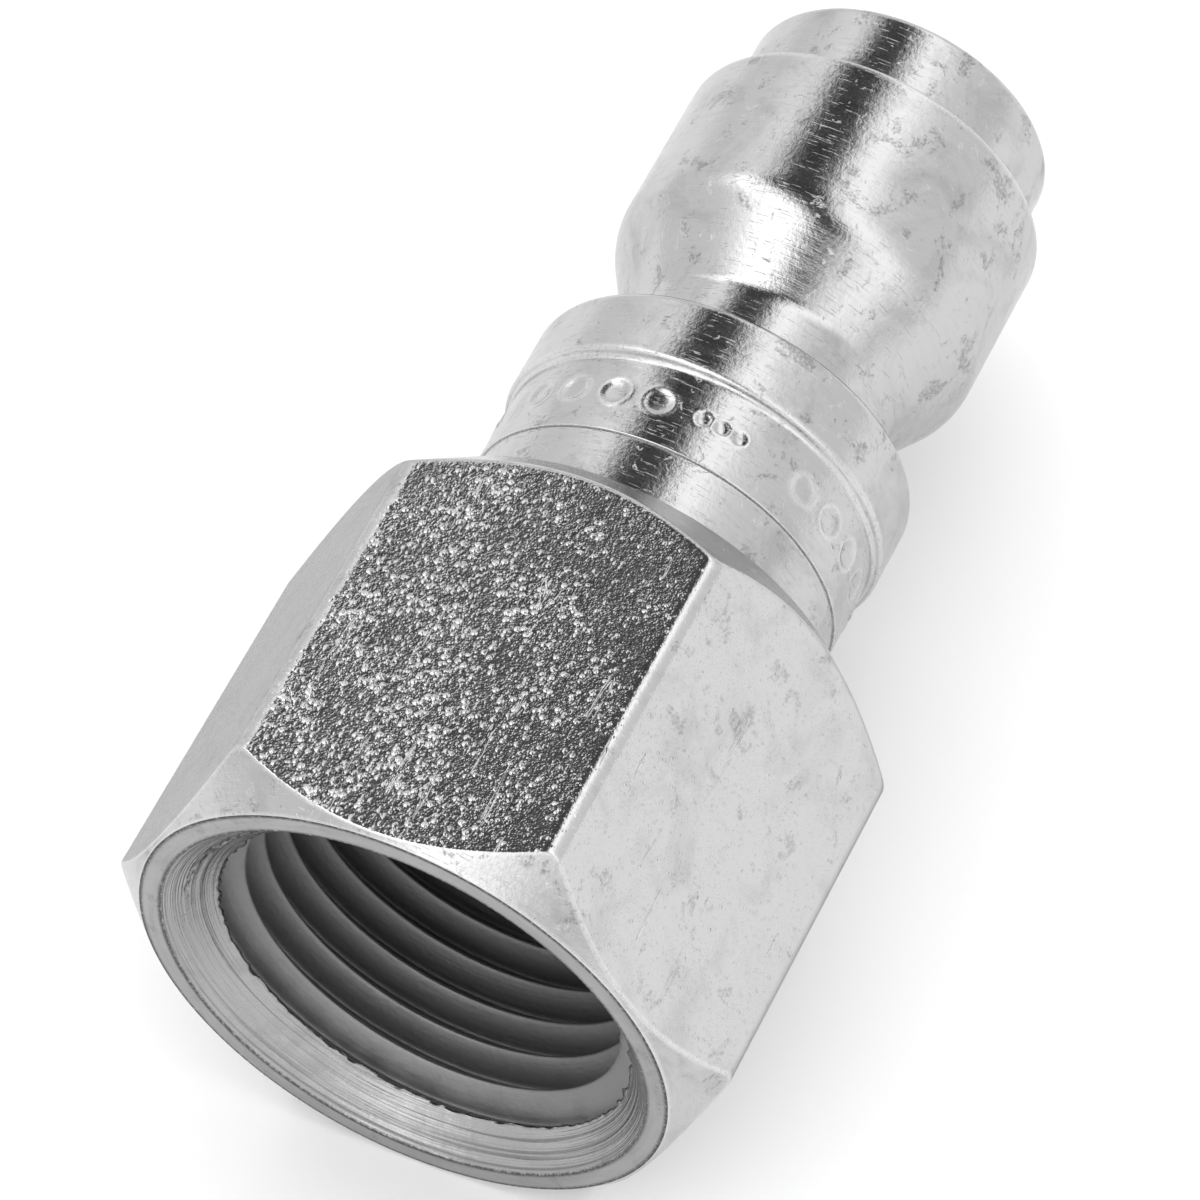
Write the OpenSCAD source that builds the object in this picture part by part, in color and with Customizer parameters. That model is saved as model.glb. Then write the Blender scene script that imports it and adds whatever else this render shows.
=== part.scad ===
// Male plug half of a quick disconnect coupling: a female taper pipe port in a
// wrench hex, a ball-lock groove, a sealing nose and a spring-closed poppet valve.
// Millimetres. +X runs along the axis from the port face to the nose, +Z is the
// normal of a wrench flat, and the origin is the centre of the port face.
// Each sub-part is turned about a local Z axis and then laid along X.

/* [Hex adapter] */
// Width across the wrench flats
hex_af = 25.4; // [25:0.1:26.5]
// Length of the hex, with both of its chamfers
hex_len = 21.6; // [21:0.1:22.2]
// Radius that the hex corners are turned down to
hex_corner_r = 14.52; // [14:0.01:14.6]
// Radius where the front chamfer meets the port face
face_r = 12.49; // [12.2:0.01:12.6]
// Radius where the rear chamfer meets the hex's back face
back_face_r = 11.3; // [11:0.1:11.8]
// Radius of the plain neck behind the hex
neck_r = 8.87; // [8.8:0.01:8.95]
// Distance from the port face to the joint with the tip
adapter_len = 25.65; // [25.5:0.05:25.9]

/* [Pipe port] */
// Radius of the countersink at the port face
mouth_r = 11.49; // [11.2:0.01:11.8]
// Radius of the thread's crests, half way along the taper
port_r = 9.1; // [9:0.05:9.3]
// Distance from the port face to the thread's last full turn
port_thread_end = 14.4; // [14:0.1:14.6]
// Radius of the passage between port and tip
passage_r = 5.8; // [5.4:0.1:6]

/* [Screwed joint] */
// Pitch radius of the shank's thread
shank_r = 7.25; // [7.2:0.05:7.3]
// Radius of the smooth pilot bore in the adapter
pilot_bore_r = 7.5; // [7.45:0.05:7.55]
// Distance from the port face to the back of the shank
shank_start = 16.8; // [16.7:0.1:17]
// Distance from the port face to the start of the smooth pilot
pilot_start = 21.8; // [21.7:0.1:21.9]
// Radius of the floor of the seal gland
gland_r = 6.3; // [6.25:0.05:6.35]

/* [Tip outside] */
// Radius of the plain band in front of the joint
band_r = 8.97; // [8.9:0.01:9.1]
// Radius of the locking collar
collar_r = 9.32; // [9.2:0.01:9.5]
// Distance from the port face to the collar
collar_start = 29.94; // [29.8:0.01:30.1]
// Length of the collar
collar_len = 3.64; // [3.5:0.01:3.8]
// Radius of the floor of the ball-lock groove
groove_r = 6.6; // [6.55:0.05:6.8]
// Distance from the port face to the sharp corner of the head's shoulder
shoulder_corner = 41; // [40.8:0.1:41.2]
// Angle of the shoulder cone to the axis
shoulder_angle = 30; // [28:1:32]
// Radius that blends the shoulder into the head
shoulder_blend_r = 3; // [2.5:0.1:3.2]
// Radius of the fillet at the groove's floor
groove_fillet_r = 1; // [0.8:0.1:1.2]
// Radius of the sealing head
head_r = 8.89; // [8.8:0.01:9]
// Distance from the port face to the front of the head
head_end = 49.24; // [49.1:0.01:49.4]
// Radius of the nose
nose_r = 7.51; // [7.4:0.01:7.6]
// Overall length, from the port face to the end of the nose
overall_len = 53.7; // [53.6:0.05:54]

/* [Tip inside] */
// Radius of the main bore
bore_r = 5.2; // [5.2:0.05:5.3]
// Radius of the chamber round the poppet
chamber_r = 6.2; // [6.1:0.05:6.3]
// Distance from the port face to the full-width chamber
chamber_start = 42; // [41.8:0.1:42.1]
// Radius of the hole through the nose
seat_hole_r = 3.9; // [3.85:0.05:3.95]
// Distance from the port face to the narrow end of the seat cone
seat_end = 50.6; // [50.6:0.05:50.7]
// Radius of the counterbore that holds the valve guide
guide_seat_r = 6; // [5.95:0.05:6.05]
// Distance from the port face to the counterbore's shoulder
guide_shoulder = 21.4; // [21.3:0.1:21.5]

/* [Valve] */
// Radius of the poppet stem
stem_r = 1.6; // [1.5:0.05:1.7]
// Radial running clearance of the stem in its guide
stem_clearance = 0.05; // [0.02:0.01:0.1]
// Radius of the push pin on the front of the poppet
push_pin_r = 2; // [1.8:0.1:2.3]
// Section radius of the poppet's sealing ring
seal_section_r = 0.86; // [0.84:0.01:0.87]
// Distance from the axis to the middle of that ring's section
seal_mid_r = 4.2; // [4.1:0.05:4.25]
// Radius of the spring wire
wire_r = 0.45; // [0.35:0.01:0.45]
// Mean coil radius of the spring
coil_r = 3.4; // [3.3:0.05:3.5]
// Working coils of the spring, without the closed end coils
working_coils = 8; // [6:1:9]
// Number of legs on the valve guide
guide_legs = 3; // [3:1:4]

/* [Hidden] */
$fn = 120;

// Cutting tools run past the faces that they break through by this much
past = 1;
// Small gap that keeps fitted pieces from sharing a surface
gap = 0.02;
edge_break = 0.25;
fine_edge = 0.12;

// Collar and groove
collar_end = collar_start + collar_len;
cone_dir = [sin(shoulder_angle), cos(shoulder_angle)];
cone_rise = head_r - groove_r;
groove_corner = shoulder_corner - cone_rise / tan(shoulder_angle);
blend_tangent = shoulder_blend_r * tan(shoulder_angle / 2);
fillet_tangent = groove_fillet_r * tan(shoulder_angle / 2);

// Seal gland in the shank
gland_start = 22.5;
gland_len = 2.4;
pilot_r = pilot_bore_r - 0.05;
joint_ring_section_r = (pilot_bore_r - gland_r) / 2 - 0.01;
joint_ring_mid_r = (pilot_bore_r + gland_r) / 2;
joint_ring_mid = gland_start + joint_ring_section_r + gap;
backup_len = 1;
backup_start = gland_start + gland_len - backup_len - gap;

// Retaining ring and guide
ring_start = 17.7;
ring_len = 1;
ring_groove_r = 6.4;
ring_groove_side = 0.05;
ring_inner_r = 5.1;
ring_gap_angle = 34;
guide_start = ring_start + ring_len + gap;
guide_rim_inner_r = 4.9;
guide_hub_r = 2.6;
guide_hub_end = guide_shoulder + 1.2;
leg_w = 1.7;

// Poppet
seat_sum = seat_hole_r + seat_end;
seal_lift = 0.025;
seal_mid = seat_sum - seal_mid_r - (seal_section_r + seal_lift) * sqrt(2);
seal_floor_r = seal_mid_r - seal_section_r;
seal_front = seal_mid + seal_section_r;
seal_back = seal_mid - seal_section_r;
cone_gap = 0.2;
flange_r = 4.9;
flange_len = 1.5;
flange_start = seal_back - flange_len;
spring_boss_r = 2.8;
spring_boss_len = 1.2;
stem_start = guide_start - 0.5;
spigot_r = 1.5;
spigot_end = 51.2;
cone_end = 51.1;
pin_end = overall_len - 0.3;
pin_edge = 0.3;

// Spring, from the guide's legs to the back of the poppet's flange
spring_start = guide_shoulder + gap;
spring_len = flange_start - gap - spring_start;
end_coil_rise = 2 * wire_r + 0.05;
wire_sink = 0.15;
wire_sides = 10;
steps_per_coil = 18;
total_coils = working_coils + 2;
working_rise = spring_len - 2 * wire_sink - 2 * end_coil_rise;

// Lays a part that is turned about Z along the X axis
module along_axis() {
    rotate([0, 90, 0])
        children();
}

module turned() {
    rotate_extrude()
        children();
}

// Turned blank that leaves 45 degree chamfers on both ends of the hex
module hex_envelope() {
    front = hex_corner_r - face_r;
    rear = hex_corner_r - back_face_r;
    polygon([
        [0, 0], [face_r, 0], [hex_corner_r, front],
        [hex_corner_r, hex_len - rear], [back_face_r, hex_len], [0, hex_len]
    ]);
}

// Countersink, port, passage and the socket for the tip's shank
module adapter_cavity() {
    drill_slope = (port_r - passage_r) * tan(30);
    web_end = shank_start - 0.2;
    polygon([
        [0, -past], [mouth_r + past, -past],
        [port_r, mouth_r - port_r], [port_r, port_thread_end],
        [passage_r, port_thread_end + drill_slope], [passage_r, web_end],
        [shank_r, web_end], [shank_r, pilot_start],
        [pilot_bore_r, pilot_start], [pilot_bore_r, adapter_len + past],
        [0, adapter_len + past]
    ]);
}

module hex_adapter() {
    color("silver")
        along_axis()
            difference() {
                union() {
                    intersection() {
                        rotate([0, 0, 30])
                            cylinder(r = hex_af / 2 / cos(30), h = hex_len, $fn = 6);
                        turned()
                            hex_envelope();
                    }
                    turned()
                        polygon([
                            [0, hex_len - past], [neck_r, hex_len - past],
                            [neck_r, adapter_len - fine_edge],
                            [neck_r - fine_edge, adapter_len], [0, adapter_len]
                        ]);
                }
                turned()
                    adapter_cavity();
            }
}

// Outside of the tip, with the groove's two curved blends
module tip_outline() {
    corner = [groove_r, groove_corner];
    shoulder = [head_r, shoulder_corner];
    difference() {
        union() {
            polygon([
                [0, shank_start], [shank_r - edge_break, shank_start],
                [shank_r, shank_start + edge_break], [shank_r, pilot_start + 0.05],
                [pilot_r, pilot_start + 0.05 + edge_break],
                [pilot_r, gland_start], [gland_r, gland_start],
                [gland_r, gland_start + gland_len], [pilot_r, gland_start + gland_len],
                [pilot_r, adapter_len], [band_r - fine_edge, adapter_len],
                [band_r, adapter_len + fine_edge], [band_r, collar_start],
                [collar_r - fine_edge, collar_start], [collar_r, collar_start + fine_edge],
                [collar_r, collar_end - edge_break], [collar_r - edge_break, collar_end],
                [groove_r, collar_end], [groove_r, groove_corner - fillet_tangent],
                corner + fillet_tangent * cone_dir,
                shoulder - blend_tangent * cone_dir,
                [head_r, shoulder_corner + blend_tangent],
                [head_r, head_end - edge_break], [head_r - edge_break, head_end],
                [nose_r, head_end], [nose_r, overall_len - 2 * edge_break],
                [nose_r - 2 * edge_break, overall_len], [0, overall_len]
            ]);
            translate([head_r - shoulder_blend_r, shoulder_corner + blend_tangent])
                circle(r = shoulder_blend_r);
        }
        translate([groove_r + groove_fillet_r, groove_corner - fillet_tangent])
            circle(r = groove_fillet_r);
    }
}

// Guide counterbore, ring groove, bore, poppet chamber and conical seat
module tip_cavity() {
    ring_groove_start = ring_start - ring_groove_side;
    ring_groove_end = ring_start + ring_len + ring_groove_side;
    lead_in = 0.4;
    polygon([
        [0, shank_start - past], [guide_seat_r, shank_start - past],
        [guide_seat_r, ring_groove_start], [ring_groove_r, ring_groove_start],
        [ring_groove_r, ring_groove_end], [guide_seat_r, ring_groove_end],
        [guide_seat_r, guide_shoulder], [bore_r, guide_shoulder],
        [bore_r, chamber_start - (chamber_r - bore_r)], [chamber_r, chamber_start],
        [chamber_r, seat_sum - chamber_r], [seat_hole_r, seat_end],
        [seat_hole_r, overall_len - lead_in],
        [seat_hole_r + lead_in + past, overall_len + past], [0, overall_len + past]
    ]);
}

module plug_tip() {
    color("gainsboro")
        along_axis()
            turned()
                difference() {
                    tip_outline();
                    tip_cavity();
                }
}

// Round-section ring about the axis, at a distance from the port face
module o_ring(mid_r, section_r, mid) {
    turned()
        translate([mid_r, mid])
            circle(r = section_r);
}

module joint_o_ring() {
    color("dimgray")
        along_axis()
            o_ring(joint_ring_mid_r, joint_ring_section_r, joint_ring_mid);
}

module joint_backup_ring() {
    color("white")
        along_axis()
            turned()
                translate([gland_r + gap, backup_start])
                    square([pilot_bore_r - gland_r - 2 * gap, backup_len]);
}

// Rim, legs and hub that hold the stem on the axis
module valve_guide() {
    rim_len = guide_shoulder - guide_start;
    leg_len = guide_rim_inner_r - guide_hub_r + 1;
    color("goldenrod")
        along_axis()
            difference() {
                union() {
                    turned()
                        translate([guide_rim_inner_r, guide_start])
                            square([guide_seat_r - gap - guide_rim_inner_r, rim_len]);
                    translate([0, 0, guide_start])
                        cylinder(r = guide_hub_r, h = guide_hub_end - guide_start);
                    for (i = [0 : guide_legs - 1])
                        rotate([0, 0, i * 360 / guide_legs])
                            translate([guide_hub_r - 0.5, -leg_w / 2, guide_start])
                                cube([leg_len, leg_w, rim_len]);
                }
                translate([0, 0, guide_start - past])
                    cylinder(r = stem_r + stem_clearance, h = guide_hub_end - guide_start + 2 * past);
            }
}

// Open ring that snaps into the groove behind the valve guide
module retaining_ring() {
    half_gap = ring_gap_angle / 2;
    reach = 2 * ring_groove_r;
    color("slategray")
        along_axis()
            difference() {
                turned()
                    translate([ring_inner_r, ring_start])
                        square([ring_groove_r - gap - ring_inner_r, ring_len]);
                translate([0, 0, ring_start - past])
                    linear_extrude(height = ring_len + 2 * past)
                        polygon([
                            [0, 0], [reach * cos(half_gap), reach * sin(half_gap)],
                            [reach * cos(half_gap), -reach * sin(half_gap)]
                        ]);
            }
}

// Height of the wire's centre after a number of coils, with one closed coil at each end
function coil_height(turns) =
    turns < 1 ? wire_sink + end_coil_rise * turns
    : turns > total_coils - 1 ? spring_len - wire_sink - end_coil_rise * (total_coils - turns)
    : wire_sink + end_coil_rise + working_rise * (turns - 1) / working_coils;

function wire_point(turns, side) =
    let(around = 360 * side / wire_sides, out = coil_r + wire_r * cos(around))
    [out * cos(360 * turns), out * sin(360 * turns), coil_height(turns) + wire_r * sin(around)];

// Compression spring with closed and ground ends
module valve_spring() {
    rings = total_coils * steps_per_coil;
    points = [for (i = [0 : rings], k = [0 : wire_sides - 1]) wire_point(i / steps_per_coil, k)];
    walls = [
        for (i = [0 : rings - 1], k = [0 : wire_sides - 1])
            let(next = (k + 1) % wire_sides, a = i * wire_sides, b = a + wire_sides)
            [a + k, b + k, b + next, a + next]
    ];
    back_end = [for (k = [0 : wire_sides - 1]) k];
    front_end = [for (k = [wire_sides - 1 : -1 : 0]) rings * wire_sides + k];
    color("lightgray")
        along_axis()
            translate([0, 0, spring_start])
                intersection() {
                    polyhedron(points = points, faces = concat(walls, [back_end, front_end]));
                    cylinder(r = coil_r + 2 * wire_r, h = spring_len);
                }
}

// Stem with the spring's seat, the seal's rear wall and a threaded spigot
module poppet_stem() {
    color("lightsteelblue")
        along_axis()
            turned()
                polygon([
                    [0, stem_start], [stem_r - edge_break, stem_start],
                    [stem_r, stem_start + edge_break],
                    [stem_r, flange_start - spring_boss_len - edge_break],
                    [spring_boss_r - edge_break, flange_start - spring_boss_len],
                    [spring_boss_r, flange_start - spring_boss_len + edge_break],
                    [spring_boss_r, flange_start], [flange_r - edge_break, flange_start],
                    [flange_r, flange_start + edge_break], [flange_r, seal_back],
                    [spigot_r, seal_back], [spigot_r, spigot_end], [0, spigot_end]
                ]);
}

// Cone and push pin, screwed on the stem's spigot to clamp the seal
module poppet_nose() {
    color("lightsteelblue")
        along_axis()
            turned()
                polygon([
                    [spigot_r, seal_back], [seal_floor_r, seal_back],
                    [seal_floor_r, seal_front], [seat_sum - cone_gap - seal_front, seal_front],
                    [seat_sum - cone_gap - cone_end, cone_end], [push_pin_r, cone_end + edge_break],
                    [push_pin_r, pin_end - pin_edge], [push_pin_r - pin_edge, pin_end],
                    [0, pin_end], [0, spigot_end + gap], [spigot_r, spigot_end + gap]
                ]);
}

module poppet_seal() {
    color("black")
        along_axis()
            o_ring(seal_mid_r, seal_section_r, seal_mid);
}

hex_adapter();
plug_tip();
joint_o_ring();
joint_backup_ring();
valve_guide();
retaining_ring();
valve_spring();
poppet_stem();
poppet_nose();
poppet_seal();
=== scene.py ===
from math import atan2, ceil, cos, pi, radians, sin, sqrt, tan

import bmesh
import bpy
import numpy as np
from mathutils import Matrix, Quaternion, Vector, noise


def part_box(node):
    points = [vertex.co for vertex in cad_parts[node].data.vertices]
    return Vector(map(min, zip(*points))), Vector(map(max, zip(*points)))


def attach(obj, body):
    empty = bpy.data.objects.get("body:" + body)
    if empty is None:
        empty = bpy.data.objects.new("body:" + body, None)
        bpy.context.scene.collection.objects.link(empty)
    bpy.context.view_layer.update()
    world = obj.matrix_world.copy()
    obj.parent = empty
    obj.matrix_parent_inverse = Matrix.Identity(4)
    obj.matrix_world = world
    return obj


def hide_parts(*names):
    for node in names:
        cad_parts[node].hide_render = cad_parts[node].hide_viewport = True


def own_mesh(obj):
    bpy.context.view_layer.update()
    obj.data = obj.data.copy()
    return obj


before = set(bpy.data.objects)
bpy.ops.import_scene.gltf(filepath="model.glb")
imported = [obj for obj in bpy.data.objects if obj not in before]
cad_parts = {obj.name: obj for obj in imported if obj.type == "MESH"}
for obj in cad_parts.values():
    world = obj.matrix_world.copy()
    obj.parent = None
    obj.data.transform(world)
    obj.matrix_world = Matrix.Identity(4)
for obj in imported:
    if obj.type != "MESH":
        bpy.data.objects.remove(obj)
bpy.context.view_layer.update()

# Lengths are in millimetres and become metres in add_mesh(). A place on a turned piece is
# (s, r): s is the distance from the port face along +X, and r the distance from the axis.
MM = 0.001

# Radii closer than SAME_LENGTH are the same. TINY is the welding distance in metres.
SAME_LENGTH = 0.001
TINY = 1e-7

# How much of the light a plated surface keeps when it is seen at a grazing angle
TURNED_TINT = 0.88
FLAT_TINT = 0.53

# Only edges with a blend under this radius look worn
WORN_EDGE_R = 0.45

# A corner's arc takes at most MAX_CUT of each side, and a turn under MIN_TURN stays sharp.
# GUARD_SHARE of what is left of half a side is the most that the guard point stands off.
MAX_CUT = 0.45
MIN_TURN = 0.02
GUARD_SHARE = 0.4

# The sizes that the visual pieces share with the CAD nodes, read from the nodes' boxes
ADAPTER_LO, ADAPTER_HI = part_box("hex_adapter")
TIP_LO, TIP_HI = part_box("plug_tip")
JOINT_S = ADAPTER_HI.x / MM
OVERALL_LEN = TIP_HI.x / MM
FLAT_R = ADAPTER_HI.z / MM
CORNER_R = ADAPTER_HI.y / MM
COLLAR_R = TIP_HI.z / MM
SHANK_START = TIP_LO.x / MM

# Wrench hex
HEX_LEN = 21.6
FACE_R = 12.49
BACK_FACE_R = 11.3
NECK_R = 8.87
HEX_EDGE_R = 0.16
REAR_EDGE_R = 0.6
HEX_CORNER_BLEND = (FLAT_R / cos(pi / 6) - CORNER_R) / (1 / cos(pi / 6) - 1)

# The kinds of plating on the adapter, in the order of its materials. The port face's plating is the
# turned zinc painted darker, as painted shade.
TURNED, PORT_FACE, WRENCH_FLAT, BORE = range(4)

# Port: 14 threads per inch on a taper of 1 in 16
MOUTH_R = 11.49
PITCH = 25.4 / 14
CREST_R = 9.2
THREAD_HEIGHT = 1.35
TAPER = 1 / 32
THREAD_ROWS = 26
THREAD_FROM = 0.4
THREAD_TO = 15.3
RUNOUT = 13.2
PASSAGE_R = 5.8
PASSAGE_S = THREAD_TO + 1.0
PORT_FLOOR_S = THREAD_TO + 0.1

# Where a crest crosses angle 0. A crest's flat and its flank are shares of half a pitch, and
# FLANK_CURVE is the share of the flank's shape that is an S curve.
CREST_AT_ZERO = 1.62
CREST_FLAT = 0.06
FLANK = 0.86
FLANK_CURVE = 0.2

# The ragged burr where the countersink cuts the first turns
BURR_HEIGHT = 0.3
BURR_REACH = 0.14
BURR_LUMPS = 20
BURR_ROW_STEP = 0.4

# Screwed joint between the adapter and the tip, with a groove for its O-ring
SOCKET_R = 7.25
SOCKET_GAP = 0.2
PILOT_BORE_S = 21.8
PILOT_BORE_R = 7.5
SHANK_R = 7.23
SHANK_END = 21.85
PILOT_S = 22.1
PILOT_R = 7.45
SEAL_GROOVE_S = 22.5
SEAL_GROOVE_END = 24.9
SEAL_GROOVE_R = 6.3

# Tip
BAND_R = 8.97
COLLAR_S = 29.94
COLLAR_END = 33.58
RISE_BEFORE = 0.14
RISE_AFTER = 0.12
GROOVE_R = 6.6
SHOULDER_S = 41.0
SHOULDER_SLOPE = radians(30)
HEAD_R = 8.89
HEAD_END = 49.24
NOSE_R = 7.51
BORE_R = 5.2
CHAMBER_R = 6.2
CHAMBER_S = 42.0
CHAMBER_START = CHAMBER_S - 1
SEAT_HOLE_R = 3.9
SEAT_S = 50.6
GUIDE_SEAT_R = 6.0
GUIDE_SHOULDER_S = 21.4
RING_GROOVE_S = 17.65
RING_GROOVE_END = 18.75
RING_GROOVE_R = 6.4
TIP_COLUMNS = 480

# Spring, with closed ends that are ground flat
COIL_R = 3.4
WIRE_R = 0.45
WORKING_COILS = 8
CLOSED_GAP = 0.05
GROUND_OFF = 0.15
SPRING_STEPS = 48
SPRING_SIDES = 16

# Poppet
STEM_R = 1.6
SPIGOT_R = 1.5
SPRING_SEAT_R = 2.8
SPRING_SEAT_LEN = 1.2
FLANGE_R = 4.9
FLANGE_LEN = 1.5
SEAL_HUB_R = 3.34
PIN_R = 2.0
PIN_LEN = 2.3
PIN_FILLET = 0.2
SCREW_GAP = 0.02
CONE_GAP = 0.2
STEM_COLUMNS = 128
NOSE_COLUMNS = 160


# ---------------------------------------------------------------- outlines

def rounded(corners, steps=5, guard=0.15):
    """Corners (s, r, blend radius) as points (s, r, wear, leg): each corner becomes an arc,
    with a guard point on each side so that shading and wear stay near the edge. leg is the
    number of the corner whose following straight the point belongs to."""
    points = []
    count = len(corners)
    for i, (s, r, blend) in enumerate(corners):
        here = Vector((s, r))
        before, after = (Vector(corners[k % count][:2]) - here for k in (i - 1, i + 1))
        turn = pi - before.angle(after)
        if blend <= 0 or turn < MIN_TURN:
            points.append((s, r, 0.0, i))
            continue
        cut = min(blend * tan(turn / 2), MAX_CUT * before.length, MAX_CUT * after.length)
        radius = cut / tan(turn / 2)
        start, end = here + cut * before.normalized(), here + cut * after.normalized()
        inwards = (before.normalized() + after.normalized()).normalized()
        centre = here + inwards * (radius / cos(turn / 2))
        side = min(guard, GUARD_SHARE * (0.5 * before.length - cut))
        points.append((*(start + side * before.normalized()), 0.0, (i - 1) % count))
        worn = 1.0 if radius < WORN_EDGE_R else 0.0
        for k in range(steps + 1):
            chord = start.lerp(end, k / steps) - centre
            arc = centre + chord.normalized() * radius
            points.append((arc.x, arc.y, worn, i if 2 * k >= steps else (i - 1) % count))
        side = min(guard, GUARD_SHARE * (0.5 * after.length - cut))
        points.append((*(end + side * after.normalized()), 0.0, i))
    return points


def divided(points, s_from, s_to, step):
    """Adds points between s_from and s_to, so that no span there is longer than step."""
    out = []
    for a, b in zip(points, points[1:] + points[:1]):
        out.append(a)
        inside = min(a[0], b[0]) >= s_from - TINY and max(a[0], b[0]) <= s_to + TINY
        length = sqrt((b[0] - a[0]) ** 2 + (b[1] - a[1]) ** 2)
        extra = ceil(length / step) - 1 if inside else 0
        for k in range(1, extra + 1):
            t = k / (extra + 1)
            out.append((*(a[i] + (b[i] - a[i]) * t for i in range(3)), a[3]))
    return out


# ---------------------------------------------------------------- meshes

def add_mesh(name, vertices, faces, materials, face_material=None, wear=None):
    """A welded, closed mesh from points in millimetres, with outward normals."""
    mesh = bpy.data.meshes.new(name)
    mesh.from_pydata((np.asarray(vertices, float) * MM).tolist(), [], faces)
    for material in materials:
        mesh.materials.append(material)
    if face_material is not None:
        mesh.polygons.foreach_set("material_index", np.asarray(face_material, np.int32))
    if wear is not None:
        layer = mesh.attributes.new("wear", "FLOAT", "POINT")
        layer.data.foreach_set("value", np.asarray(wear, np.float32))
    bm = bmesh.new()
    bm.from_mesh(mesh)
    bmesh.ops.remove_doubles(bm, verts=bm.verts, dist=TINY)
    bmesh.ops.dissolve_degenerate(bm, edges=bm.edges, dist=TINY)
    bmesh.ops.recalc_face_normals(bm, faces=bm.faces)
    bm.to_mesh(mesh)
    bm.free()
    mesh.polygons.foreach_set("use_smooth", [True] * len(mesh.polygons))
    piece = bpy.data.objects.new(name, mesh)
    bpy.context.scene.collection.objects.link(piece)
    shading = piece.modifiers.new("even_shading", "WEIGHTED_NORMAL")
    shading.keep_sharp = True
    return piece


def turned_mesh(name, rows, angles, materials, row_material=None, closed=True):
    """Joins rows of (s, r, wear) arrays, one value per angle, into a skin round the axis.
    angles runs from 0 to a full turn, both included."""
    s, r, wear = (np.array([row[k] for row in rows]) for k in range(3))
    y, z = r * np.cos(angles), r * np.sin(angles)
    vertices = np.stack([s, y, z], -1).reshape(-1, 3)
    width = len(angles)
    spans = len(rows) if closed else len(rows) - 1
    faces, face_material = [], []
    for i in range(spans):
        a, b = i * width, ((i + 1) % len(rows)) * width
        for j in range(width - 1):
            faces.append((a + j, b + j, b + j + 1, a + j + 1))
            face_material.append(row_material[i] if row_material else 0)
    return add_mesh(name, vertices, faces, materials, face_material, wear.reshape(-1))


def stand_in(piece, node, body):
    """The piece takes the CAD node's place and moves with the body."""
    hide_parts(node)
    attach(piece, body)


def full_turn(columns):
    return np.linspace(0, 2 * pi, columns + 1)


def even_rows(points, width):
    """Rows that are the same all round."""
    return [tuple(np.full(width, value) for value in point[:3]) for point in points]


def turned_piece(name, corners, columns, material, steps=5):
    """A solid of revolution. An outline that starts and ends on the axis is a full solid."""
    points = rounded(corners, steps)
    on_axis = corners[0][1] == 0
    rows = even_rows(points, columns + 1)
    return turned_mesh(name, rows, full_turn(columns), [material], closed=not on_axis)


# ---------------------------------------------------------------- hex adapter

def hex_radius(angle):
    """Distance from the axis to the hex with blended corners. A flat faces +Z."""
    flat_angle = pi / 3
    off = abs((angle % flat_angle) - flat_angle / 2)
    inner = FLAT_R - HEX_CORNER_BLEND
    if tan(off) * FLAT_R <= inner * tan(pi / 6):
        return FLAT_R / cos(off)
    reach = inner / cos(pi / 6)
    swing = pi / 6 - off
    return reach * cos(swing) + sqrt(HEX_CORNER_BLEND ** 2 - (reach * sin(swing)) ** 2)


def hex_angles(per_flat=76, per_corner=14):
    """Angles that crowd together at the blended corners."""
    inner = FLAT_R - HEX_CORNER_BLEND
    flat_end = atan2(inner * tan(pi / 6), FLAT_R)
    corner_half = pi / 6 - flat_end
    angles = []
    for k in range(6):
        corner = k * pi / 3
        leaving = np.linspace(0, 1, per_corner // 2, endpoint=False)
        across = np.linspace(0, 1, per_flat, endpoint=False)
        nearing = np.linspace(1, 0, per_corner // 2, endpoint=False)
        angles += list(corner + corner_half * leaving)
        angles += list(corner + corner_half + 2 * flat_end * across)
        angles += list(corner + pi / 3 - corner_half * nearing)
    return np.array(angles + [2 * pi])


def thread_rows(angles):
    """Helical rows of the port's taper thread, cut off by the countersink at the mouth and
    run out at the bottom. A right-hand thread: it goes in as the angle grows."""
    turns = (THREAD_TO - THREAD_FROM) / PITCH + 1
    rows = []
    for k in range(ceil(turns * THREAD_ROWS) + 1):
        base = THREAD_FROM - PITCH + k * PITCH / THREAD_ROWS
        s = np.clip(base + PITCH * angles / (2 * pi), THREAD_FROM, THREAD_TO)
        phase = ((base - CREST_AT_ZERO) / PITCH) % 1.0
        from_crest = min(phase, 1 - phase) * 2
        depth = min(max((from_crest - CREST_FLAT) / FLANK, 0.0), 1.0)
        curve = depth * depth * (3 - 2 * depth)
        depth = depth * (1 - FLANK_CURVE) + FLANK_CURVE * curve
        fade = np.clip(1 - (s - RUNOUT) / PITCH, 0, 1)
        burr = np.array([
            noise.noise(Vector((BURR_LUMPS * cos(a), BURR_LUMPS * sin(a), BURR_ROW_STEP * k)))
            for a in angles
        ])
        thread = CREST_R - TAPER * s + THREAD_HEIGHT * depth * fade
        cone = MOUTH_R - s
        near = np.exp(-((cone - thread) / BURR_REACH) ** 2)
        r = np.maximum(cone, thread) + BURR_HEIGHT * burr * near
        r = np.where(s >= THREAD_TO, CREST_R - TAPER * THREAD_TO, r)
        r = np.where(s <= THREAD_FROM, MOUTH_R - THREAD_FROM, r)
        rows.append((s, r, near))
    return rows


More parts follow.
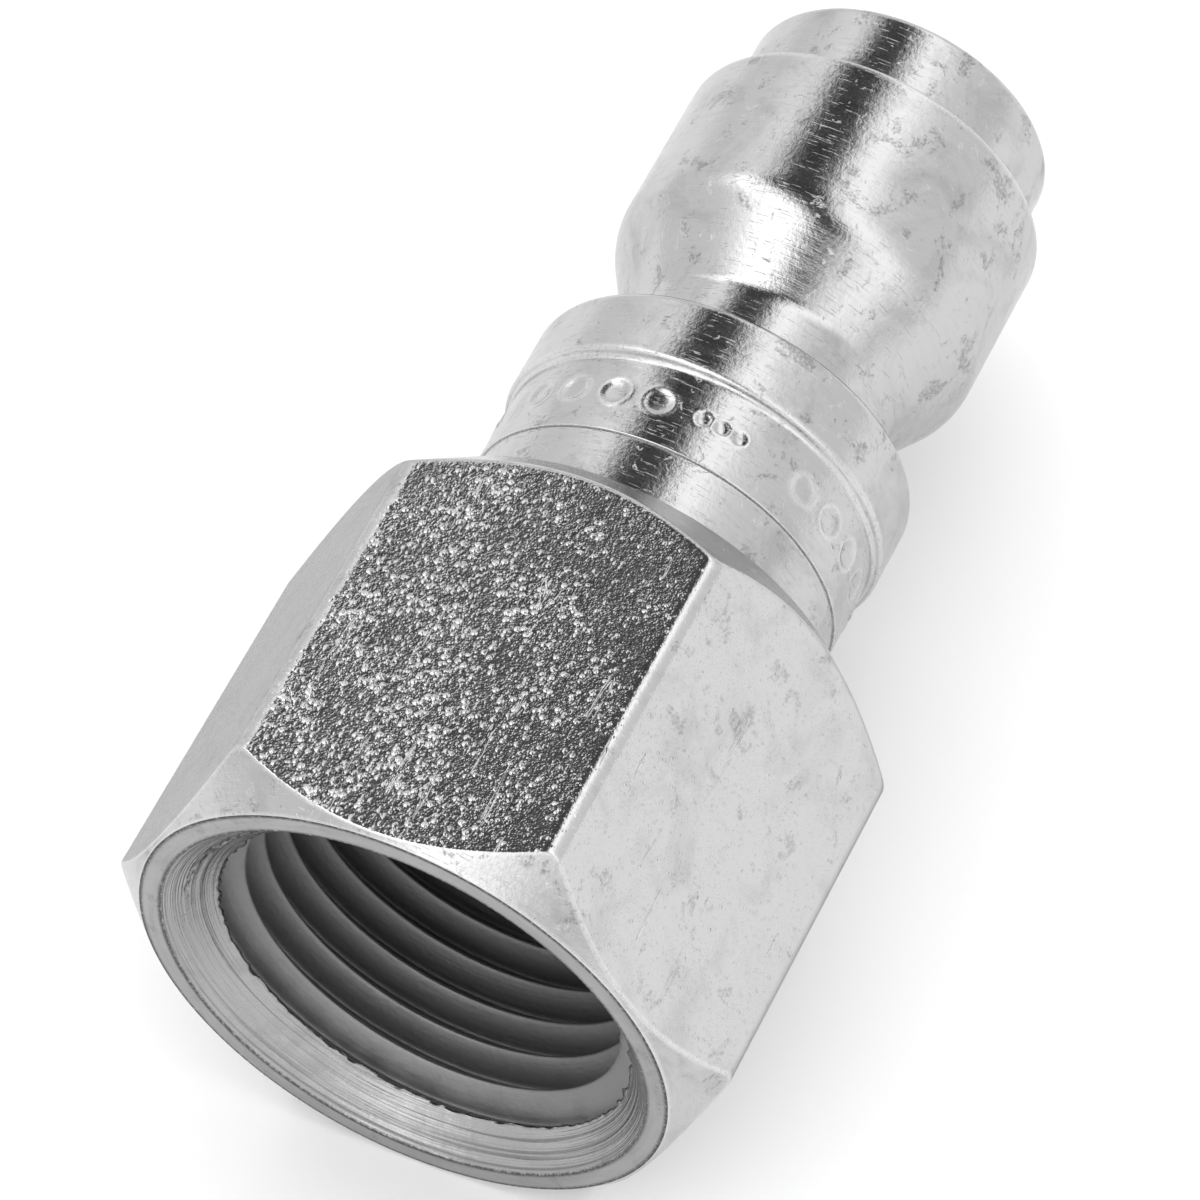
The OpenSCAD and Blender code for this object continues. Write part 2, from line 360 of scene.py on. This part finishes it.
def hex_adapter_piece():
    angles = hex_angles()
    across = [hex_radius(a) for a in angles]
    bottom_r = CREST_R - TAPER * THREAD_TO
    web_s = SHANK_START - SOCKET_GAP
    columns = []
    for big in across:
        columns.append(rounded([
            (0.0, MOUTH_R, 0.08), (0.0, FACE_R, HEX_EDGE_R), (big - FACE_R, big, HEX_EDGE_R),
            (HEX_LEN - (big - BACK_FACE_R), big, REAR_EDGE_R), (HEX_LEN, BACK_FACE_R, 0.5),
            (HEX_LEN, NECK_R, 0.5), (JOINT_S, NECK_R, 0.035), (JOINT_S, PILOT_BORE_R, 0.1),
            (PILOT_BORE_S, PILOT_BORE_R, 0), (PILOT_BORE_S, SOCKET_R, 0.1), (web_s, SOCKET_R, 0),
            (web_s, PASSAGE_R, 0.15), (PASSAGE_S, PASSAGE_R, 0), (PORT_FLOOR_S, bottom_r, 0),
            (THREAD_FROM, MOUTH_R - THREAD_FROM, 0),
        ])[:-1])
    outline = columns[0]
    rows = [
        tuple(np.array([column[i][k] for column in columns]) for k in range(3))
        for i in range(len(outline))
    ]
    # The outline starts at the mouth, and the thread closes the loop from the bottom outwards.
    # The port face is the leg after corner 0, and the flat is the leg after corner 2.
    thread = thread_rows(angles)[::-1]
    port_leg, flat_leg, mouth_leg, bottom_leg = 0, 2, outline[0][3], outline[-1][3]
    zones = {port_leg: PORT_FACE, flat_leg: WRENCH_FLAT, mouth_leg: BORE, bottom_leg: BORE}
    row_zone = [zones.get(point[3], TURNED) for point in outline] + [BORE] * len(thread)
    piece = turned_mesh("hex_adapter_body", rows + thread, angles,
                        [turned_zinc, port_face_shaded_zinc, flat_zinc, bore_zinc], row_zone)
    stand_in(piece, "hex_adapter", "plug_body")


# ---------------------------------------------------------------- plug tip

PUNCH_S = 27.85
PUNCH_DEPTH = 0.1
PUNCH_ROW_STEP = 0.1
LIP_SHARE = 0.45
LIP_AT = 1.2
LIP_WIDTH = 0.18
BIG_PUNCH_R = 0.62
SMALL_PUNCH_R = 0.36
PUNCH_GROUPS = 4
GROUP_OFFSETS = ((-0.44, SMALL_PUNCH_R), (-0.34, SMALL_PUNCH_R), (-0.24, SMALL_PUNCH_R),
                 (0.0, BIG_PUNCH_R), (0.24, BIG_PUNCH_R), (0.48, BIG_PUNCH_R), (0.72, BIG_PUNCH_R))


def punched(s, angles):
    """How far plain round punch marks press the band in and raise their lips, and how worn
    each place is."""
    rise, worn = np.zeros(len(angles)), np.zeros(len(angles))
    for group in range(PUNCH_GROUPS):
        for offset, mark_r in GROUP_OFFSETS:
            centre = pi / 2 + group * 2 * pi / PUNCH_GROUPS - offset
            turn = (angles - centre + pi) % (2 * pi) - pi
            distance = np.sqrt((turn * BAND_R) ** 2 + (s - PUNCH_S) ** 2) / mark_r
            pressed = np.exp(-distance ** 4)
            lip = np.exp(-((distance - LIP_AT) / LIP_WIDTH) ** 2)
            rise += PUNCH_DEPTH * (LIP_SHARE * lip - pressed)
            worn += lip
    return rise, np.minimum(worn, 1.0)


def plug_tip_piece():
    angles = full_turn(TIP_COLUMNS)
    groove_end = SHOULDER_S - (HEAD_R - GROOVE_R) / tan(SHOULDER_SLOPE)
    seat_back = SEAT_S - (CHAMBER_R - SEAT_HOLE_R)
    points = rounded([
        (SHANK_START, GUIDE_SEAT_R, 0.1), (SHANK_START, SHANK_R, 0.25), (SHANK_END, SHANK_R, 0),
        (PILOT_S, PILOT_R, 0.05), (SEAL_GROOVE_S, PILOT_R, 0.08),
        (SEAL_GROOVE_S, SEAL_GROOVE_R, 0.15), (SEAL_GROOVE_END, SEAL_GROOVE_R, 0.15),
        (SEAL_GROOVE_END, PILOT_R, 0.08), (JOINT_S, PILOT_R, 0.05), (JOINT_S, BAND_R, 0.07),
        (COLLAR_S - RISE_BEFORE, BAND_R, 0.3), (COLLAR_S + RISE_AFTER, COLLAR_R, 0.25),
        (COLLAR_END, COLLAR_R, 0.5), (COLLAR_END, GROOVE_R, 0.3),
        (groove_end, GROOVE_R, 1.0), (SHOULDER_S, HEAD_R, 3.0),
        (HEAD_END, HEAD_R, 0.3), (HEAD_END, NOSE_R, 0.12), (OVERALL_LEN, NOSE_R, 0.5),
        (OVERALL_LEN, SEAT_HOLE_R, 0.4), (SEAT_S, SEAT_HOLE_R, 0.1),
        (seat_back, CHAMBER_R, 0.2), (CHAMBER_S, CHAMBER_R, 0.2), (CHAMBER_START, BORE_R, 0.2),
        (GUIDE_SHOULDER_S, BORE_R, 0.1), (GUIDE_SHOULDER_S, GUIDE_SEAT_R, 0.1),
        (RING_GROOVE_END, GUIDE_SEAT_R, 0.05), (RING_GROOVE_END, RING_GROOVE_R, 0.05),
        (RING_GROOVE_S, RING_GROOVE_R, 0.05), (RING_GROOVE_S, GUIDE_SEAT_R, 0.05),
    ], steps=6)
    # The band between its two edges needs enough rows to carry the punch marks
    points = divided(points, JOINT_S + 0.02, COLLAR_S - 0.2, PUNCH_ROW_STEP)
    rows = []
    for s, r, wear, _ in points:
        rise, worn = np.zeros(len(angles)), np.full(len(angles), wear)
        if abs(r - BAND_R) < SAME_LENGTH and JOINT_S < s < COLLAR_S:
            rise, worn = punched(s, angles)
        rows.append((np.full(len(angles), s), r + rise, worn))
    piece = turned_mesh("plug_tip_body", rows, angles, [turned_zinc])
    stand_in(piece, "plug_tip", "plug_body")


# ---------------------------------------------------------------- valve

def valve_spring_piece():
    """Closed and ground coils at both ends."""
    lo, hi = (v.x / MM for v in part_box("valve_spring"))
    length = hi - lo
    coils = WORKING_COILS + 2
    end_rise = 2 * WIRE_R + CLOSED_GAP
    working_rise = (length - 2 * GROUND_OFF - 2 * end_rise) / WORKING_COILS
    steps, sides = SPRING_STEPS, SPRING_SIDES
    rows = []
    for i in range(coils * steps + 1):
        t = i / steps
        s = GROUND_OFF + end_rise * t
        if t > 1:
            s = GROUND_OFF + end_rise + working_rise * (t - 1)
        if t > coils - 1:
            s = length - GROUND_OFF - end_rise * (coils - t)
        for k in range(sides):
            around = 2 * pi * k / sides
            out = COIL_R + WIRE_R * cos(around)
            along = min(max(s + WIRE_R * sin(around), 0.0), length)
            rows.append((lo + along, out * cos(2 * pi * t), out * sin(2 * pi * t)))
    faces = []
    for i in range(coils * steps):
        for k in range(sides):
            a, b, n = i * sides, (i + 1) * sides, (k + 1) % sides
            faces.append((a + k, b + k, b + n, a + n))
    faces.append(tuple(range(sides)))
    faces.append(tuple(coils * steps * sides + k for k in reversed(range(sides))))
    piece = add_mesh("valve_spring_coil", rows, faces, [spring_steel])
    stand_in(piece, "valve_spring", "plug_body")
    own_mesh(piece)


def poppet_pieces():
    stem_lo, stem_hi = (v.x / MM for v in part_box("poppet_stem"))
    nose_lo, nose_hi = (v.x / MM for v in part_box("poppet_nose"))
    seal_lo, seal_hi = (v.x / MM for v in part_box("poppet_seal"))
    flange = seal_lo - FLANGE_LEN
    seat = flange - SPRING_SEAT_LEN
    stem = turned_piece("poppet_stem_body", [
        (stem_lo, 0, 0), (stem_lo, STEM_R, 0.3), (seat, STEM_R, 0.5), (seat, SPRING_SEAT_R, 0.25),
        (flange, SPRING_SEAT_R, 0.15), (flange, FLANGE_R, 0.25), (seal_lo, FLANGE_R, 0.1),
        (seal_lo, SPIGOT_R, 0.1), (stem_hi, SPIGOT_R, 0.2), (stem_hi, 0, 0),
    ], STEM_COLUMNS, valve_steel)
    # The cone falls one for one from cone, which is its radius at s = 0
    cone = SEAT_HOLE_R + SEAT_S - CONE_GAP
    cone_end = nose_hi - PIN_LEN
    screw_end = stem_hi + SCREW_GAP
    nose = turned_piece("poppet_nose_body", [
        (screw_end, 0, 0), (screw_end, SPIGOT_R, 0.1), (nose_lo, SPIGOT_R, 0.05),
        (nose_lo, SEAL_HUB_R, 0.05), (seal_hi, SEAL_HUB_R, 0.1), (seal_hi, cone - seal_hi, 0.06),
        (cone_end, cone - cone_end, 0.15), (cone_end + PIN_FILLET, PIN_R, 0.15),
        (nose_hi, PIN_R, 0.6), (nose_hi, 0, 0),
    ], NOSE_COLUMNS, valve_steel, steps=8)
    stand_in(stem, "poppet_stem", "poppet")
    stand_in(nose, "poppet_nose", "poppet")


# ---------------------------------------------------------------- materials

# The mix node keeps one set of sockets for each data type
MIX_FLOAT_A, MIX_FLOAT_B, MIX_FLOAT_OUT = 2, 3, 0
MIX_COLOUR_A, MIX_COLOUR_B, MIX_COLOUR_OUT = 6, 7, 2


class Shader:
    """A short way to write the nodes of a material or a world. Inputs are numbers, colours or
    sockets."""

    def __init__(self, owner):
        owner.use_nodes = True
        self.tree = owner.node_tree
        self.tree.nodes.clear()

    def add(self, kind, inputs=None, **settings):
        node = self.tree.nodes.new(kind)
        for key, value in settings.items():
            setattr(node, key, value)
        for key, value in (inputs or {}).items():
            if isinstance(value, bpy.types.NodeSocket):
                self.tree.links.new(value, node.inputs[key])
            else:
                node.inputs[key].default_value = value
        return node

    def math(self, operation, a, b=0.0):
        return self.add("ShaderNodeMath", {0: a, 1: b}, operation=operation).outputs[0]

    def times(self, a, b):
        return self.math("MULTIPLY", a, b)

    def plus(self, a, b):
        return self.math("ADD", a, b)

    def vector(self, x, y, z):
        return self.add("ShaderNodeCombineXYZ", {0: x, 1: y, 2: z}).outputs[0]

    def between(self, value, low, high, to_low=0.0, to_high=1.0):
        """Maps low to to_low and high to to_high, and stays within the two."""
        return self.add("ShaderNodeMapRange", {
            0: value, 1: low, 2: high, 3: to_low, 4: to_high}, clamp=True).outputs[0]


class Surface(Shader):
    """One material. place is the point on the piece in millimetres."""

    def __init__(self, name):
        self.material = bpy.data.materials.new(name)
        super().__init__(self.material)
        place = self.add("ShaderNodeTexCoord").outputs["Object"]
        self.place = self.add("ShaderNodeVectorMath", {0: place, "Scale": 1 / MM},
                              operation="SCALE").outputs[0]
        self.x, self.y, self.z = self.add("ShaderNodeSeparateXYZ", {0: self.place}).outputs

    def noise(self, place, scale, detail=3.0, roughness=0.55, distortion=0.0):
        return self.add("ShaderNodeTexNoise", {
            "Vector": place, "Scale": scale, "Detail": detail, "Roughness": roughness,
            "Distortion": distortion}).outputs["Fac"]

    def cells(self, scale):
        node = self.add("ShaderNodeTexVoronoi", {"Vector": self.place, "Scale": scale})
        return node.outputs["Distance"]

    def blend(self, share, a, b):
        return self.add("ShaderNodeMix", {"Factor": share, MIX_COLOUR_A: a, MIX_COLOUR_B: b},
                        data_type="RGBA").outputs[MIX_COLOUR_OUT]

    def bump(self, height, depth, normal=None):
        """depth is in millimetres."""
        inputs = {"Height": height, "Distance": depth * MM, "Strength": 1.0}
        if normal is not None:
            inputs["Normal"] = normal
        return self.add("ShaderNodeBump", inputs).outputs[0]

    def worn(self, scale, low, high):
        """The mesh's wear, broken up by grain."""
        wear = self.add("ShaderNodeAttribute", attribute_name="wear").outputs["Fac"]
        grain = self.noise(self.place, scale, detail=4.0, roughness=0.7)
        return self.times(wear, self.between(grain, low, high))

    def radius(self):
        squares = self.plus(self.math("POWER", self.y, 2), self.math("POWER", self.z, 2))
        return self.math("SQRT", squares)

    def lathe_place(self, around=0.05, slant=0.4):
        """Stretched round the axis, so that noise becomes turning marks. slant is how far the
        marks also step with the radius, which is what end faces and cones need."""
        run = self.plus(self.x, self.times(self.radius(), slant))
        return self.vector(run, self.times(self.y, around), self.times(self.z, around))

    def finish(self, **inputs):
        """The inputs are the Principled shader's, with _ for each space."""
        named = {key.replace("_", " "): value for key, value in inputs.items()}
        surface = self.add("ShaderNodeBsdfPrincipled", named)
        output = self.add("ShaderNodeOutputMaterial")
        self.tree.links.new(surface.outputs[0], output.inputs["Surface"])
        return self.material


def grey(level):
    return (level, level, level, 1)


def stained(m, level, dirt, worn, wear_tone):
    """The plating's colour: clouds, grainy grey patches, specks, and edges that have worn."""
    clouds = m.noise(m.place, 0.3, detail=6.0, roughness=0.65, distortion=0.8)
    patches = m.noise(m.place, 0.55, detail=8.0, roughness=0.74, distortion=0.3)
    specks = m.noise(m.place, 2.2, detail=5.0, roughness=0.75)
    grain = m.noise(m.place, 7.0, detail=4.0, roughness=0.7)
    grime = m.math("MAXIMUM", m.between(patches, 0.57, 0.605), m.between(specks, 0.66, 0.72))
    grime = m.times(m.times(grime, m.between(grain, 0.4, 0.6, 0.15, 1.0)), dirt)
    colour = m.blend(m.between(clouds, 0.48, 0.7, 0.0, 0.9 * dirt), grey(level), grey(0.7 * level))
    colour = m.blend(grime, colour, grey(0.42 * level))
    return m.blend(worn, colour, grey(wear_tone))


def turned_plating(name, level, marks, rough, dirt=0.4, wear_tone=0.6, line_tone=0.04):
    """Bright zinc over turning marks: broad and fine lines, hairline ridges, nicks and a soft
    orange peel. marks is the depth of the lines in millimetres."""
    m = Surface(name)
    lines = m.lathe_place()
    strength = m.between(m.noise(m.place, 0.25, detail=2.0), 0.35, 0.65, 0.35, 1.3)
    broad = m.noise(lines, 3.6, detail=2.0, roughness=0.5)
    fine = m.noise(lines, 13.0, detail=4.0, roughness=0.7)
    hairs = m.noise(m.lathe_place(around=0.06), 16.0, detail=2.0, roughness=0.4)
    nicks = m.noise(m.place, 1.3, detail=5.0, roughness=0.6, distortion=0.9)
    peel = m.noise(m.place, 4.5, detail=4.0, roughness=0.6)
    normal = m.bump(m.times(broad, strength), marks)
    normal = m.bump(m.times(fine, strength), 0.7 * marks, normal)
    normal = m.bump(m.between(hairs, 0.66, 0.72), marks, normal)
    normal = m.bump(m.times(m.between(nicks, 0.63, 0.68), -1.0), 0.012, normal)
    normal = m.bump(peel, 0.013, normal)
    worn = m.worn(6.0, 0.3, 0.5)
    colour = stained(m, level, dirt, worn, wear_tone)
    dull_lines = m.between(m.noise(lines, 4.5, detail=4.0, roughness=0.65), 0.36, 0.56, line_tone, 0.0)
    colour = m.blend(dull_lines, colour, grey(0.4 * level))
    roughness = m.between(m.noise(lines, 5.0), 0.3, 0.7, rough - 0.04, rough + 0.06)
    roughness = m.plus(roughness, m.times(worn, 0.15))
    return m.finish(Base_Color=colour, Metallic=1.0, Roughness=roughness, Normal=normal,
                    Specular_Tint=grey(TURNED_TINT))


def wrench_flat_plating(name, level, rough):
    """Zinc on rolled bar: round nodules of three sizes over the flats, which fade at the rubbed
    corners and thin out towards -Y and the neck, and a few long gouges."""
    m = Surface(name)
    calm = m.between(m.radius(), 14.36, 14.5, 1.0, 0.5)
    patchy = m.between(m.noise(m.place, 0.4), 0.35, 0.65, 0.55, 1.2)
    share = m.times(calm, patchy)
    fewer = m.plus(m.between(m.y, -6.5, 1.0, 0.17, 0.03), m.between(m.x, 10.0, 20.0, 0.0, 0.05))
    spread = m.between(m.noise(m.place, 0.8, detail=2.0), 0.35, 0.65, 0.0, 0.08)
    nodules = m.between(m.plus(m.cells(2.6), m.plus(fewer, spread)), 0.14, 0.5, 1.0, 0.0)
    small = m.between(m.plus(m.cells(5.2), fewer), 0.1, 0.42, 1.0, 0.0)
    grains = m.between(m.cells(8.0), 0.1, 0.5, 1.0, 0.0)
    normal = m.bump(m.times(nodules, share), 0.045)
    normal = m.bump(m.times(small, share), 0.017, normal)
    normal = m.bump(m.times(grains, share), 0.005, normal)
    normal = m.bump(m.times(m.noise(m.place, 4.5, detail=2.0, roughness=0.5), share), 0.018, normal)
    along = m.vector(m.times(m.x, 0.12), m.y, m.z)
    gouges = m.between(m.noise(along, 1.5, distortion=0.5), 0.66, 0.7)
    normal = m.bump(m.times(gouges, -1.0), 0.02, normal)
    colour = stained(m, level, 0.6, m.worn(6.0, 0.3, 0.5), 1.15 * level)
    # Painted glints: the nodules are painted lighter than the flat around them, and they are rougher.
    lumps = m.times(m.math("MAXIMUM", nodules, small), share)
    colour = m.blend(m.between(lumps, 0.1, 0.7, 0.0, 0.45), colour, grey(min(1.0, 1.35 * level)))
    roughness = m.between(lumps, 0.05, 0.5, rough, rough + 0.1)
    return m.finish(Base_Color=colour, Metallic=1.0, Roughness=roughness, Normal=normal,
                    Specular_Tint=grey(FLAT_TINT))


def port_plating(name, cone_level, thread_level):
    """Strong concentric ridges on the countersink, and a duller, smoother thread that is painted
    darker inwards as painted shade in the bore."""
    m = Surface(name)
    off_cone = m.math("ABSOLUTE", m.math("SUBTRACT", m.plus(m.x, m.radius()), MOUTH_R))
    cone = m.between(off_cone, 0.02, 0.1, 1.0, 0.0)
    strength = m.between(cone, 0.0, 1.0, 0.1, 1.0)
    rings = m.lathe_place(around=0.012, slant=-1.0)
    ridges = m.noise(rings, 3.4, roughness=0.6)
    normal = m.bump(m.times(ridges, strength), 0.1)
    normal = m.bump(m.times(m.noise(rings, 10.0, roughness=0.6), strength), 0.02, normal)
    normal = m.bump(m.noise(m.place, 3.0, detail=4.0, roughness=0.6), 0.025, normal)
    # Painted shade: the thread is painted darker the deeper it lies in the bore.
    inside = m.between(m.x, 2.0, 9.0, thread_level, 0.65 * thread_level)
    level = m.between(cone, 0.0, 1.0, inside, cone_level)
    dark_lines = m.times(m.between(ridges, 0.38, 0.5, 0.6, 0.0), cone)
    clouds = m.between(m.noise(m.place, 0.5, detail=5.0, roughness=0.65), 0.5, 0.7, 0.0, 0.4)
    colour = m.blend(dark_lines, m.vector(level, level, level), grey(0.12))
    colour = m.blend(clouds, colour, grey(0.2))
    colour = m.blend(m.worn(5.0, 0.34, 0.54), colour, grey(0.09))
    roughness = m.between(cone, 0.0, 1.0, 0.58, 0.26)
    return m.finish(Base_Color=colour, Metallic=1.0, Roughness=roughness, Normal=normal)


def bare_metal(name, colour, mark_depth, rough):
    """Unplated metal with fine turning or drawing marks."""
    m = Surface(name)
    lines = m.lathe_place()
    normal = m.bump(m.noise(lines, 10.0, detail=4.0, roughness=0.6), mark_depth)
    normal = m.bump(m.noise(m.place, 5.0), 0.5 * mark_depth, normal)
    darker = tuple(0.6 * c for c in colour[:3]) + (1,)
    clouds = m.between(m.noise(m.place, 0.6, detail=4.0), 0.4, 0.7, 0.0, 0.3)
    roughness = m.between(m.noise(lines, 4.0), 0.3, 0.7, rough - 0.05, rough + 0.08)
    return m.finish(Base_Color=m.blend(clouds, colour, darker), Metallic=1.0, Roughness=roughness,
                    Normal=normal)


def moulded(name, colour, rough, grain):
    """Rubber or PTFE: a fine grain, a faint mould bloom and no metal."""
    m = Surface(name)
    normal = m.bump(m.noise(m.place, 8.0, detail=4.0, roughness=0.6), grain)
    bloom = m.between(m.noise(m.place, 0.9, detail=4.0), 0.45, 0.7, 0.0, 0.35)
    lighter = tuple(min(1.0, 1.5 * c + 0.02) for c in colour[:3]) + (1,)
    return m.finish(Base_Color=m.blend(bloom, colour, lighter), Roughness=rough, Normal=normal)


def painted_floor():
    m = Surface("studio_floor")
    tone = m.between(m.noise(m.place, 0.02), 0.3, 0.7, 0.0, 0.3)
    return m.finish(Base_Color=m.blend(tone, grey(0.95), grey(0.93)), Roughness=0.8)


turned_zinc = turned_plating("turned_zinc", 0.51, 0.011, 0.14, dirt=0.8)
# The port face is the turned zinc painted darker: painted shade, for the shaded floor close under the
# mouth that the face mirrors.
port_face_shaded_zinc = turned_plating("port_face_zinc_painted_shade", 0.38, 0.006, 0.35, wear_tone=0.08, line_tone=0.2)
flat_zinc = wrench_flat_plating("wrench_flat_zinc", 0.54, 0.15)
bore_zinc = port_plating("port_thread_zinc", 0.39, 0.3)
valve_steel = bare_metal("turned_stainless", (0.6, 0.6, 0.61, 1), 0.004, 0.25)
spring_steel = bare_metal("spring_wire", (0.34, 0.34, 0.36, 1), 0.003, 0.3)
brass = bare_metal("machined_brass", (0.72, 0.5, 0.2, 1), 0.004, 0.27)
nitrile = moulded("black_nitrile", (0.02, 0.02, 0.02, 1), 0.5, 0.004)
ptfe = moulded("white_ptfe", (0.8, 0.8, 0.76, 1), 0.35, 0.003)

hex_adapter_piece()
plug_tip_piece()
valve_spring_piece()
poppet_pieces()
for node, material in (("valve_guide", brass), ("retaining_ring", spring_steel),
                       ("joint_o_ring", nitrile), ("joint_backup_ring", ptfe),
                       ("poppet_seal", nitrile)):
    cad_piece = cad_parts[node]
    cad_piece.data.materials.clear()
    cad_piece.data.materials.append(material)


# ---------------------------------------------------------------- stage, light, camera

def direction(azimuth, elevation):
    a, e = radians(azimuth), radians(elevation)
    return Vector((cos(a) * cos(e), sin(a) * cos(e), sin(e)))


AIM = Vector((23.80, 1.74, -1.35)) * MM
VIEW_AZIMUTH = -150.07
VIEW_ELEVATION = 52.74
VIEW_ROLL = 6.39
VIEW_DISTANCE = 304.0
LENS = 204.1
SENSOR_WIDTH = 36
CLIP = (0.01, 10)

# Sideways places in the studio are sines of the angle to the right of the plane through the
# camera and the zenith, and forward places are cosines from the way that the camera faces.
# Brightness levels are as mirrored metal sees them, and each pair of places is a soft edge.
GAP_LEFT = -0.25
GAP_LEFT_FAR = -0.01
GAP_RIGHT = 0.35
GAP_EDGE = (-0.05, 0.04)
GAP_SLANT = (0.61, 0.645)
GAP_NEAR_END = (-0.6, -0.5)
GAP_FAR_END = (0.8, 0.86)
GAP_LEVEL = 0.07
TENT_LEVEL = 1.0
TENT_TOP = (0.1, 0.5)

# In the half of the studio behind the camera, the gap's edges come in and the bright boxes
# beside it stand further out and widen
BEHIND = (0.0, 0.3)
GAP_NARROWING = 0.12
BOX_PLACE = 0.17
BOX_PLACE_BEHIND = 0.26
BOX_WIDTH = 0.15
BOX_WIDTH_BEHIND = 0.24
LEFT_BOX_GAIN = 1.6
LEFT_BOX_GAIN_FAR = 0.3
LEFT_BOX_FADE = (0.55, 0.7)
RIGHT_BOX_GAIN = 0.85
MIDDLE = (-0.1, 0.1)

# What the floor and the camera see
DIFFUSE_LEVEL = 1.3

LAMP_PLACE = (0.1, -0.3, 0.9)
LAMP_SIZE = 0.8
LAMP_POWER = 0.6
FLOOR_REACH = 3.0


def add_stage():
    mesh = bpy.data.meshes.new("floor")
    bm = bmesh.new()
    bmesh.ops.create_grid(bm, x_segments=8, y_segments=8, size=FLOOR_REACH)
    bm.to_mesh(mesh)
    bm.free()
    mesh.materials.append(painted_floor())
    floor = bpy.data.objects.new("floor", mesh)
    floor.location.z = ADAPTER_LO.z
    bpy.context.scene.collection.objects.link(floor)


def add_tent():
    """A white tent with two long soft boxes overhead. The dark gap between them runs from above
    the camera over the object, so metal that faces up mirrors it."""
    world = bpy.data.worlds.new("white_studio")
    bpy.context.scene.world = world
    m = Shader(world)
    towards = m.add("ShaderNodeTexCoord").outputs["Generated"]
    along = Vector((-cos(radians(VIEW_AZIMUTH)), -sin(radians(VIEW_AZIMUTH)), 0))
    right = Vector((along.y, -along.x, 0))

    def measured(axis):
        dot = m.add("ShaderNodeVectorMath", {0: towards, 1: axis}, operation="DOT_PRODUCT")
        return dot.outputs["Value"]

    far, height, sideways = measured(along), measured(Vector((0, 0, 1))), measured(right)
    above = m.between(height, *TENT_TOP)
    gap_left = m.between(far, *GAP_SLANT, GAP_LEFT, GAP_LEFT_FAR)
    past_left = m.math("SUBTRACT", gap_left, sideways)
    past_right = m.math("SUBTRACT", sideways, GAP_RIGHT)
    narrowing = m.between(far, *BEHIND, GAP_NARROWING, 0.0)
    outside = m.plus(m.math("MAXIMUM", past_left, past_right), narrowing)

    gap = m.between(outside, *GAP_EDGE, 1.0, 0.0)
    gap = m.times(gap, m.between(far, *GAP_FAR_END, 1.0, 0.0))
    gap = m.times(gap, m.between(far, *GAP_NEAR_END))
    gap = m.times(gap, above)

    box_place = m.between(far, *BEHIND, BOX_PLACE_BEHIND, BOX_PLACE)
    box_width = m.between(far, *BEHIND, BOX_WIDTH_BEHIND, BOX_WIDTH)
    box = m.math("DIVIDE", m.math("SUBTRACT", outside, box_place), box_width)
    box = m.math("EXPONENT", m.times(m.times(box, box), -1.0))
    left_gain = m.between(far, *LEFT_BOX_FADE, LEFT_BOX_GAIN, LEFT_BOX_GAIN_FAR)
    gain = m.between(sideways, *MIDDLE, left_gain, RIGHT_BOX_GAIN)
    box = m.times(m.times(box, above), gain)

    seen = m.between(gap, 0.0, 1.0, m.plus(box, TENT_LEVEL), GAP_LEVEL)
    glossy = m.add("ShaderNodeLightPath").outputs["Is Glossy Ray"]
    level = m.add("ShaderNodeMix", {0: glossy, MIX_FLOAT_A: DIFFUSE_LEVEL, MIX_FLOAT_B: seen},
                  data_type="FLOAT").outputs[MIX_FLOAT_OUT]
    light = m.add("ShaderNodeBackground", {"Color": grey(1.0), "Strength": level})
    output = m.add("ShaderNodeOutputWorld")
    m.tree.links.new(light.outputs[0], output.inputs["Surface"])


def add_lamp():
    """Gives the soft shadow, and is not mirrored."""
    data = bpy.data.lights.new("overhead_softbox", "AREA")
    data.shape = "DISK"
    data.size = LAMP_SIZE
    data.energy = LAMP_POWER
    lamp = bpy.data.objects.new("overhead_softbox", data)
    lamp.location = LAMP_PLACE
    lamp.rotation_mode = "QUATERNION"
    lamp.rotation_quaternion = lamp.location.to_track_quat("Z", "Y")
    lamp.visible_glossy = False
    bpy.context.scene.collection.objects.link(lamp)


def add_camera():
    data = bpy.data.cameras.new("camera")
    data.lens = LENS
    data.sensor_width = SENSOR_WIDTH
    data.clip_start, data.clip_end = CLIP
    camera = bpy.data.objects.new("camera", data)
    bpy.context.scene.collection.objects.link(camera)
    away = direction(VIEW_AZIMUTH, VIEW_ELEVATION)
    roll = Quaternion((0, 0, 1), -radians(VIEW_ROLL))
    camera.location = AIM + away * VIEW_DISTANCE * MM
    camera.rotation_mode = "QUATERNION"
    camera.rotation_quaternion = (-away).to_track_quat("-Z", "Y") @ roll
    bpy.context.scene.camera = camera
    bpy.context.scene.view_settings.view_transform = "Standard"


add_stage()
add_tent()
add_lamp()
add_camera()
